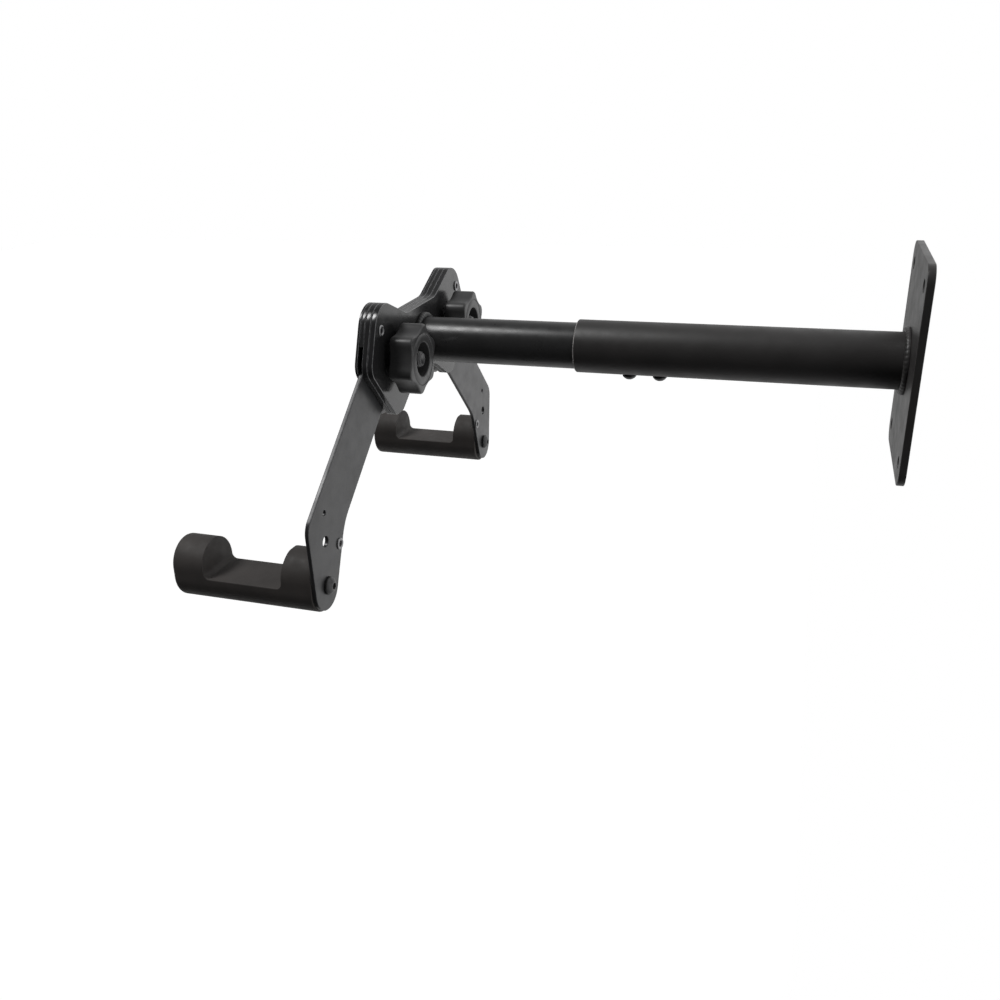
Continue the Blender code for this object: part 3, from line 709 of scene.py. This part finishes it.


# Its edge roundings are painted strongly lighter: painted highlight lines along each plate, with some wear.
plate_coat = coated_steel("smooth_plate_coat", PLATE_COAT, roughness=0.22, lift=14, peel=0.08, grain=0.12)
other_half = [(-x, z, radius) for x, z, radius in reversed(PLATE_HALF[1:-1])]
pack_outline = rounded_outline([*PLATE_HALF, *other_half])
rivet_holes = [circle(side * RIVET_X, RIVET_Z, RIVET_HOLE) for side in (-1, 1)]
pivot_holes = [circle(side * PIVOT_X, 0, PIVOT_HOLE) for side in (-1, 1)]
for name, layer in (("rear_plate", 0), ("pressure_plate", 1), ("front_plate", FRONT_LAYER)):
    plate = cut_plate(pack_outline, pivot_holes + rivet_holes, *layer_y(layer), PLATE_EDGE)
    dress(name + "_coated", plate, plate_coat, "boom", name)
spacer_low, spacer_high = layer_y(ARM_LAYER)
spacer_blank = cut_plate(pack_outline, rivet_holes, spacer_low, spacer_high, PLATE_EDGE)
pockets = []
for side in (-1, 1):
    radius = ARM_HALF + POCKET_PLAY
    pocket = arc((0, 0), radius, math.pi, math.radians(90) - STOP_UP, POCKET_STEPS)
    slope = Vector((math.cos(STOP_UP), -math.sin(STOP_UP)))
    pocket.append(pocket[-1] + slope * POCKET_REACH)
    pocket += [Vector((POCKET_REACH, -POCKET_REACH)), Vector((-radius, -POCKET_REACH))]
    low_loop = [(side * (PIVOT_X + p.x), spacer_low - POCKET_CUT, p.y) for p in pocket]
    high_loop = [(x, spacer_high + POCKET_CUT, z) for x, _, z in low_loop]
    pockets.append(prism(low_loop, high_loop))
spacer = milled(spacer_blank, pockets)
dress("spacer_plate_coated", spacer, plate_coat, "boom", "spacer_plate", crease=35)


# Hollow rivets
# Tubular steel rivets, zinc plated. Each is set by rolling its end over into a flange.
# Two hold the pack together at its ears, and one sits in each arm's foot.
RIVET_RADIUS = 0.003
RIVET_BORE = 0.0021
RIVET_FLANGE = 0.00425
RIVET_CURL = 0.0009
RIVET_GAP = 0.0003
RIVET_STEPS = 40
CURL_STEPS = 10
DULL_ZINC = (0.30, 0.30, 0.305)


def hollow_rivet(y_low, y_high):
    """Tube with a rolled flange at both ends."""
    low = y_low - RIVET_GAP
    high = y_high + RIVET_GAP
    middle = (RIVET_BORE + RIVET_FLANGE) / 2
    half = (RIVET_FLANGE - RIVET_BORE) / 2
    section = [(RIVET_RADIUS, low), (RIVET_RADIUS, high)]
    for end, way in ((high, 1), (low, -1)):
        for step in range(CURL_STEPS + 1):
            turn = math.pi * step / CURL_STEPS
            section.append((middle + way * half * math.cos(turn), end + way * RIVET_CURL * math.sin(turn)))
    return lathe(section, RIVET_STEPS, closed=True)


dull_zinc = metal_finish("dulled_zinc_steel", DULL_ZINC, roughness=0.42, scuffs=0.30)
for side_name, side in (("right", 1), ("left", -1)):
    rivet = hollow_rivet(layer_y(FRONT_LAYER)[0], PACK_Y)
    bmesh.ops.translate(rivet, verts=rivet.verts, vec=(side * RIVET_X, 0, RIVET_Z))
    name = side_name + "_corner_rivet"
    dress(name + "_zinc", rivet, dull_zinc, "boom", name, crease=50)


# Pivot bolts
# M12 x 1.5 hexagon-head bolts, black oxide. The head lies on the front plate, on the room side.
# The threaded end passes through pack, arm, washer and knob, and shows in the knob's recess.
BOLT_RADIUS = 0.006
BOLT_FLATS = 0.018
BOLT_HEAD = 0.0075
BOLT_GAP = 0.0003
BOLT_END = PACK_Y + 0.0218
BOLT_DISH = ((0.0036, 0.0), (0.0030, 0.0003), (0.0012, 0.0007), (0, 0.0008))
BOLT_STEPS = 72
HEAD_FACE = 0.94
HEAD_EDGE = 0.0001
HEAD_CONE = math.radians(30)
CONE_START = 0.96
CONE_HEIGHT = 0.0009
CONE_STEPS = 8
WASHER_FACE = 0.95
WASHER_FACE_HEIGHT = 0.0003
LOW_CORNER = 1.02
LOW_CORNER_HEIGHT = 0.0005
THREAD_START = PACK_Y + 0.001
THREAD_PITCH = 0.0015
THREAD_DEPTH = 0.0008
THREAD_FLANK = 2.4
THREAD_STEPS = 8
TIP_SLOPE = 0.9
TIP_CUT = 0.0014


def turned_hexagon(limit):
    """Radius of the head round the turn, with its corners turned off at a limit."""
    return lambda angle: min(limit, six_sided(BOLT_FLATS, angle))


def bolt_head(seat):
    """Profile of the hexagon head, whose corners are turned off by a 30 degree cone."""
    top = seat - BOLT_HEAD
    half = BOLT_FLATS / 2
    profile = [(0, top), (half * HEAD_FACE, top)]
    for step in range(CONE_STEPS + 1):
        depth = CONE_HEIGHT * step / CONE_STEPS
        cone = half * CONE_START + depth / math.tan(HEAD_CONE)
        profile.append((turned_hexagon(cone), top + HEAD_EDGE + depth))
    profile.append((lambda angle: six_sided(BOLT_FLATS, angle), seat - LOW_CORNER_HEIGHT))
    profile.append((turned_hexagon(half * LOW_CORNER), seat - WASHER_FACE_HEIGHT))
    profile += [(half * WASHER_FACE, seat - WASHER_FACE_HEIGHT), (half * WASHER_FACE, seat)]
    return profile


def thread_ring(y):
    """Radius of the thread at one height, round the turn. It runs out in a cone at the bolt's end."""

    def reach(angle):
        place = (y / THREAD_PITCH + angle / math.tau) % 1.0
        rise = min(1.0, THREAD_FLANK * abs(place - 0.5))
        tip = (BOLT_END - y) * TIP_SLOPE + BOLT_RADIUS - TIP_CUT
        return min(BOLT_RADIUS - THREAD_DEPTH * (1 - rise), tip)

    return reach


bolt_seat = layer_y(FRONT_LAYER)[0] - BOLT_GAP
bolt_profile = bolt_head(bolt_seat) + [(BOLT_RADIUS, bolt_seat), (BOLT_RADIUS, THREAD_START)]
thread_rows = int((BOLT_END - THREAD_START) / THREAD_PITCH * THREAD_STEPS)
for row in range(1, thread_rows + 1):
    y = THREAD_START + (BOLT_END - THREAD_START) * row / thread_rows
    bolt_profile.append((thread_ring(y), y))
bolt_profile += [(radius, BOLT_END - depth) for radius, depth in BOLT_DISH]
for side_name, side in (("right", 1), ("left", -1)):
    bolt = lathe(bolt_profile, BOLT_STEPS)
    bmesh.ops.translate(bolt, verts=bolt.verts, vec=(side * PIVOT_X, 0, 0))
    name = side_name + "_pivot_bolt"
    dress(name + "_oxide", bolt, black_oxide, "boom", name, crease=28)


# Knob washers
# Flat steel washers, zinc plated, between each knob's hub and the rear plate.
WASHER_RADIUS = 0.012
WASHER_THICKNESS = 0.0016
WASHER_GAP = 0.0003
WASHER_EDGE = 0.0003
WASHER_STEPS = 64
low = PACK_Y + WASHER_GAP
high = low + WASHER_THICKNESS
bevel = WASHER_EDGE * 0.3
washer_section = [(PIVOT_HOLE, low), (WASHER_RADIUS, low), (WASHER_RADIUS, high - WASHER_EDGE)]
washer_section += [(WASHER_RADIUS - bevel, high - bevel), (WASHER_RADIUS - WASHER_EDGE, high)]
washer_section.append((PIVOT_HOLE, high))
for side_name, side in (("right", 1), ("left", -1)):
    washer = lathe(washer_section, WASHER_STEPS, closed=True)
    bmesh.ops.translate(washer, verts=washer.verts, vec=(side * PIVOT_X, 0, 0))
    name = side_name + "_knob_washer"
    dress(name + "_zinc", washer, zinc, side_name + "_washer_sliding", name, crease=30)


# Star knobs
# Moulded black glass-filled nylon, six broad lobes, with a hub below and a round recess in the face.
# Each screws on a pivot bolt and clamps the arm. A steel bush is moulded in.
LOBES = 6
KNOB_TURN = math.radians(45)
TIP_RADIUS = 0.026
TIP_ROUND = 0.006
VALLEY_RADIUS = 0.0218
HUB_RADIUS = 0.0112
KNOB_BASE = PACK_Y + 0.0022
KNOB_UNDER = PACK_Y + 0.0044
KNOB_FRONT = PACK_Y + 0.0224
KNOB_EDGE = 0.0016
KNOB_EDGE_STEPS = 6
TIP_STEPS = 14
DIP_STEPS = 12
HUB_EDGE = 0.0004
HUB_FILLET = 0.0006
FACE_GROOVE = ((0.0196, 0.0), (0.0194, 0.0003), (0.0190, 0.0004), (0.0187, 0.0001))
RECESS_RADIUS = 0.01265
RECESS_DEPTH = 0.0115
RECESS_LIP = 0.0007
RECESS_LIP_STEPS = 4
RECESS_FILLET = 0.0010
BUSH_RADIUS = 0.0086
BUSH_GAP = 0.0003
BUSH_EDGE = 0.0005
BUSH_RISE = 0.001
BUSH_STEPS = 56
NYLON = (0.060, 0.060, 0.061)
# Dark zinc of the bush: painted shade for the knob's recess.
RECESS_SHADE_ZINC = (0.10, 0.10, 0.103)
FLOW_CELLS = 60
PATCH_CELLS = 140


def moulded(name, colour, roughness, grain_scale, grain_depth, sheen=0.0):
    """Moulded surface: spark-eroded grain, slow flow marks and uneven gloss."""
    finish, tree, shader = new_finish(name)
    flow = spread(tree, noise(tree, FLOW_CELLS, 3.0), 0.0, 1.0)
    tree.links.new(tint(tree, flow, colour, 0.86, 1.18), shader.inputs["Base Color"])
    gloss = spread(tree, noise(tree, PATCH_CELLS, 3.0), roughness - 0.05, roughness + 0.07)
    tree.links.new(gloss, shader.inputs["Roughness"])
    if sheen:
        shader.inputs["Sheen Weight"].default_value = sheen
        shader.inputs["Sheen Roughness"].default_value = 0.5
    grain = (noise(tree, grain_scale, 2.0), 0.35, grain_depth)
    tree.links.new(relief(tree, (grain,)), shader.inputs["Normal"])
    return finish


def knob_lobes():
    """Outline of the star: round tips joined by tangent scallops."""
    pitch = math.tau / LOBES
    tip_centre = TIP_RADIUS - TIP_ROUND
    cosine = math.cos(pitch / 2)
    top = VALLEY_RADIUS**2 + tip_centre**2 - 2 * VALLEY_RADIUS * tip_centre * cosine - TIP_ROUND**2
    scallop = top / (2 * (TIP_ROUND + tip_centre * cosine - VALLEY_RADIUS))
    far = VALLEY_RADIUS + scallop
    reach = math.atan2(far * math.sin(pitch / 2), far * cosine - tip_centre)
    outline = []
    for lobe in range(LOBES):
        turn = Matrix.Rotation(lobe * pitch + KNOB_TURN, 2)
        tip = arc((tip_centre, 0), TIP_ROUND, -reach, reach, TIP_STEPS)
        middle = (far * cosine, far * math.sin(pitch / 2))
        dip = arc(middle, scallop, math.pi + reach, math.pi + pitch - reach, DIP_STEPS)[1:-1]
        outline += [turn @ p for p in tip + dip]
    return outline


def knob_shape():
    """The knob round its bush, from rows of (size, y).

    The size is a radius on the hub and the face. On the lobes it says how far the outline is drawn in.
    """
    bore = BUSH_RADIUS + BUSH_GAP
    hub = [(bore, KNOB_BASE), (HUB_RADIUS - HUB_EDGE, KNOB_BASE), (HUB_RADIUS, KNOB_BASE + HUB_EDGE)]
    hub.append((HUB_RADIUS, KNOB_UNDER - HUB_FILLET))
    hub.append((HUB_RADIUS + HUB_FILLET / 3, KNOB_UNDER - HUB_FILLET / 3))
    hub.append((HUB_RADIUS + HUB_FILLET, KNOB_UNDER))
    quarter = quarter_turn(KNOB_EDGE_STEPS)
    lobes = [(KNOB_EDGE * (1 - math.sin(a)), KNOB_UNDER + KNOB_EDGE * (1 - math.cos(a))) for a in quarter]
    lobes += [(KNOB_EDGE * (1 - math.cos(a)), KNOB_FRONT - KNOB_EDGE * (1 - math.sin(a))) for a in quarter]
    face = [(radius, KNOB_FRONT - depth) for radius, depth in FACE_GROOVE]
    for turn in quarter_turn(RECESS_LIP_STEPS):
        lip = RECESS_RADIUS + RECESS_LIP * (1 - math.sin(turn))
        face.append((lip, KNOB_FRONT - RECESS_LIP * (1 - math.cos(turn))))
    bottom = KNOB_FRONT - RECESS_DEPTH
    face.append((RECESS_RADIUS, bottom + RECESS_FILLET))
    face.append((RECESS_RADIUS - RECESS_FILLET * 0.3, bottom + RECESS_FILLET * 0.3))
    face += [(RECESS_RADIUS - RECESS_FILLET, bottom), (bore, bottom)]
    bm = bmesh.new()
    rings = []
    outline = knob_lobes()
    for rows, lobed in ((hub, False), (lobes, True), (face, False)):
        for size, y in rows:
            places = [p.normalized() * (p.length - size if lobed else size) for p in outline]
            rings.append([bm.verts.new((place.x, y, place.y)) for place in places])
    join_rings(bm, rings, closed=True)
    return bm


low = KNOB_BASE + BUSH_GAP
high = KNOB_FRONT - RECESS_DEPTH + BUSH_RISE
bush_section = [(PIVOT_HOLE + BUSH_EDGE, low), (BUSH_RADIUS, low), (BUSH_RADIUS, high - BUSH_EDGE)]
bush_section += [(BUSH_RADIUS - BUSH_EDGE, high), (PIVOT_HOLE + BUSH_EDGE, high)]
bush_section += [(PIVOT_HOLE, high - BUSH_EDGE), (PIVOT_HOLE, low + BUSH_EDGE)]
# The bush gets a dark zinc as painted shade, so that the knob's recess reads dark.
recess_shade_zinc = metal_finish("zinc_steel_painted_recess_shade", RECESS_SHADE_ZINC, roughness=0.45, scuffs=0.30)
nylon = moulded("glass_filled_nylon", NYLON, roughness=0.39, grain_scale=2400, grain_depth=0.00005)
for side_name, side in (("right", 1), ("left", -1)):
    body = side_name + "_knob_turning"
    name = side_name + "_knob"
    knob = knob_shape()
    bmesh.ops.translate(knob, verts=knob.verts, vec=(side * PIVOT_X, 0, 0))
    dress(name + "_moulded", knob, nylon, body, name, crease=45)
    bush = lathe(bush_section, BUSH_STEPS, closed=True)
    bmesh.ops.translate(bush, verts=bush.verts, vec=(side * PIVOT_X, 0, 0))
    dress(name + "_bush", bush, recess_shade_zinc, body, name + "_insert", crease=30)


# Arms
# Dog-leg arms of 3 mm steel, laser cut and powder coated satin black, a mirrored pair.
# Each turns on its pivot bolt in the spacer's pocket and carries a cradle at its foot.
CRADLE_AT = (0.1765, -0.0295)
ARM_RIVET_AT = (0.1457, -0.0253)
ARM_LARGE_HOLE_AT = (0.1545, -0.0057)
ARM_SMALL_HOLE_AT = (0.140, 0.009)
ARM_LARGE_HOLE = 0.0040
ARM_SMALL_HOLE = 0.0020
ARM_ELBOW = 0.130
ELBOW_ROUND = 0.040
SHOULDER_ROUND = 0.014
ARM_END_AT = (0.1785, -0.0295)
ARM_END_RADIUS = 0.016
FOOT_SLOPE = math.radians(54)
ARM_DOWN = {"right": math.radians(36.6), "left": math.radians(46.0)}
ARM_COAT = (0.032, 0.032, 0.034)


def arm_outline():
    """Round at the pivot, a straight bar, then a foot that narrows to a round end."""
    end = Vector(ARM_END_AT)
    radius = ARM_END_RADIUS
    outer = Vector((math.sin(FOOT_SLOPE), math.cos(FOOT_SLOPE)))
    shoulder = Vector((end.x + (radius - (ARM_HALF - end.y) * outer.y) / outer.x, ARM_HALF))
    elbow = Vector((ARM_ELBOW, -ARM_HALF))
    leg = end - elbow
    fall = math.atan2(-leg.y, leg.x) + math.asin(radius / leg.length)
    inner = Vector((-math.sin(fall), -math.cos(fall)))
    outline = arc((0, 0), ARM_HALF, -math.pi / 2, -1.5 * math.pi, 48)
    outline += fillet(outline[-1], shoulder, end + outer * radius, SHOULDER_ROUND)
    outline += arc(end, radius, math.atan2(outer.y, outer.x), math.atan2(inner.y, inner.x), 40)
    outline += fillet(end + inner * radius, elbow, outline[0], ELBOW_ROUND)
    return outline


drilled = (
    ((0, 0), PIVOT_HOLE),
    (CRADLE_AT, RIVET_HOLE),
    (ARM_RIVET_AT, RIVET_HOLE),
    (ARM_LARGE_HOLE_AT, ARM_LARGE_HOLE),
    (ARM_SMALL_HOLE_AT, ARM_SMALL_HOLE),
)
# The arms' edge roundings are painted lighter: part wear, part painted highlight.
arm_coat = coated_steel("satin_arm_coat", ARM_COAT, roughness=0.35, lift=6, peel=0.16, grain=0.2)
arm_places = {}
for side_name, side in (("right", 1), ("left", -1)):
    place = Matrix.Translation((side * PIVOT_X, 0, 0)) @ Matrix.Rotation(side * ARM_DOWN[side_name], 4, "Y")
    arm_places[side_name] = place
    holes = [circle(side * x, z, radius) for (x, z), radius in drilled]
    outline = [Vector((side * p.x, p.y)) for p in arm_outline()]
    arm = cut_plate(outline, holes, *layer_y(ARM_LAYER), PLATE_EDGE, place)
    body = side_name + "_arm_swinging"
    name = side_name + "_arm"
    dress(name + "_coated", arm, arm_coat, body, name)
    rivet = hollow_rivet(*layer_y(ARM_LAYER))
    foot = place @ Matrix.Translation((side * ARM_RIVET_AT[0], 0, ARM_RIVET_AT[1]))
    bmesh.ops.transform(rivet, matrix=foot, verts=rivet.verts)
    dress(name + "_rivet_zinc", rivet, dull_zinc, body, name + "_rivet", crease=50)


# Cradle screws
# M6 button-head screws, black oxide, with larger heads than the lock screws and the same socket.
# Each passes through its arm's foot from the wall side and is screwed into the cradle's end.
CRADLE_HEAD_RADIUS = 0.0065
CRADLE_HEAD_HEIGHT = 0.0042
CRADLE_HEAD_FLAT = 0.0031
CRADLE_SCREW_LENGTH = 0.022


def add_cradle_screw(side_name, cradle_place):
    """Adds the screw that holds a cradle, seated on the arm behind the cradle's place."""
    screw = button_screw(CRADLE_HEAD_RADIUS, CRADLE_HEAD_HEIGHT, CRADLE_HEAD_FLAT, CRADLE_SCREW_LENGTH)
    seat = cradle_place @ Matrix.Translation((0, layer_y(ARM_LAYER)[1] + LAYER_GAP, 0))
    bmesh.ops.transform(screw, matrix=seat, verts=screw.verts)
    body = side_name + "_cradle_turning"
    name = side_name + "_cradle_screw"
    dress(name + "_oxide", screw, black_oxide, body, name, crease=32)


# Cradles
# Solid moulded rubber bars of upright, round-ended section, with a flat-floored saddle for the top tube.
# Matte black, with soft edges. Both saddles face up, tilted to the line between them.
CRADLE_RADIUS = 0.019
CRADLE_RISE = 0.007
CRADLE_LENGTH = 0.110
CRADLE_TILT = math.radians(3.1)
CRADLE_END_ROUND = 0.003
CRADLE_BACK_ROUND = 0.0008
SADDLE_START = 0.0222
SADDLE_LENGTH = 0.063
SADDLE_FLOOR = 0.0025
SADDLE_FILLET = 0.0045
SADDLE_DRAFT = 0.0005
WALL_STEPS = 12
LIP = 0.0008
CRADLE_BORE = 0.0033
CRADLE_BORE_DEPTH = 0.0197
RUBBER = (0.050, 0.044, 0.041)


def saddle_wall(corner, way):
    """Stations (y, height) down one wall of the saddle: its lip, its drafted wall and its fillet."""
    low = SADDLE_FLOOR + SADDLE_FILLET
    high = CRADLE_RADIUS + CRADLE_RISE - LIP
    line = [(corner - way * (LIP - p.x), high + p.y) for p in arc((0, 0), LIP, math.pi / 2, 0, 5)]
    for part in range(1, WALL_STEPS + 1):
        share = part / WALL_STEPS
        line.append((corner + way * SADDLE_DRAFT * share, high + (low - high) * share))
    for point in arc((0, 0), SADDLE_FILLET, math.pi, 1.5 * math.pi, 10)[1:]:
        line.append((corner + way * (SADDLE_DRAFT + SADDLE_FILLET + point.x), low + point.y))
    return line


def cradle_section(inset, height):
    """One slice of the bar, drawn in by inset and cut off at a height, its corners rounded by the lip."""
    radius = CRADLE_RADIUS - inset
    height = min(height, CRADLE_RISE + radius)
    above = height - LIP - CRADLE_RISE
    across = radius - LIP
    if above > 0:
        across = math.sqrt(max(0.0, (radius - LIP) ** 2 - above**2))
    tangent = math.atan2(above, across) if above > 0 else 0.0
    points = [Vector((across * part / 8, height)) for part in range(9)]
    points += arc((across, height - LIP), LIP, math.pi / 2, tangent, 6)[1:]
    if above > 0:
        points += arc((0, CRADLE_RISE), radius, tangent, 0, 20)[1:]
    shoulder = min(height - LIP, CRADLE_RISE)
    steps = 4 if above > 0 else 24
    points += [Vector((radius, shoulder * (1 - part / steps))) for part in range(1, steps + 1)]
    points += arc((0, 0), radius, 0, -math.pi / 2, 24)[1:]
    return points + [Vector((-p.x, p.y)) for p in reversed(points[1:-1])]


def between(start, end, parts):
    """The places that divide a length into equal parts."""
    return [start + (end - start) * part / parts for part in range(1, parts)]


def cradle_shape():
    """The bar from its rounded free end, through the saddle, to the end with the screw's bore."""
    back = layer_y(ARM_LAYER)[0] - LAYER_GAP
    front = back - CRADLE_LENGTH
    start = back - SADDLE_START
    end = start - SADDLE_LENGTH
    top = CRADLE_RADIUS + CRADLE_RISE
    low_wall = saddle_wall(end, 1)
    high_wall = saddle_wall(start, -1)
    stations = []
    for point in arc((0, 0), CRADLE_END_ROUND, math.pi, math.pi / 2, 8):
        stations.append((front + CRADLE_END_ROUND + point.x, CRADLE_END_ROUND - point.y, top))
    stations += [(y, 0.0, top) for y in between(front + CRADLE_END_ROUND, end - LIP, 4)]
    stations += [(y, 0.0, height) for y, height in low_wall]
    stations += [(y, 0.0, SADDLE_FLOOR) for y in between(low_wall[-1][0], high_wall[-1][0], 12)]
    stations += [(y, 0.0, height) for y, height in reversed(high_wall)]
    stations += [(y, 0.0, top) for y in between(start + LIP, back - CRADLE_BACK_ROUND, 4)]
    for point in arc((0, 0), CRADLE_BACK_ROUND, math.pi / 2, 0, 4):
        stations.append((back - CRADLE_BACK_ROUND + point.x, CRADLE_BACK_ROUND - point.y, top))
    bm = bmesh.new()
    rings = [[bm.verts.new((0, front, 0))]]
    for y, inset, height in stations:
        rings.append([bm.verts.new((p.x, y, p.y)) for p in cradle_section(inset, height)])
    deep = back - CRADLE_BORE_DEPTH
    bore = [Vector((vert.co.x, vert.co.z)).normalized() * CRADLE_BORE for vert in rings[-1]]
    for y in (back, deep):
        rings.append([bm.verts.new((p.x, y, p.y)) for p in bore])
    rings.append([bm.verts.new((0, deep, 0))])
    join_rings(bm, rings)
    return bm


rubber = moulded("cradle_rubber", RUBBER, roughness=0.66, grain_scale=1800, grain_depth=0.00007, sheen=0.08)
for side_name, side in (("right", 1), ("left", -1)):
    at = Matrix.Translation((side * CRADLE_AT[0], 0, CRADLE_AT[1]))
    level_turn = Matrix.Rotation(-side * ARM_DOWN[side_name] - CRADLE_TILT, 4, "Y")
    cradle_place = arm_places[side_name] @ at @ level_turn
    cradle = cradle_shape()
    bmesh.ops.transform(cradle, matrix=cradle_place, verts=cradle.verts)
    name = side_name + "_cradle"
    dress(name + "_rubber", cradle, rubber, name + "_turning", name, crease=50)
    add_cradle_screw(side_name, cradle_place)
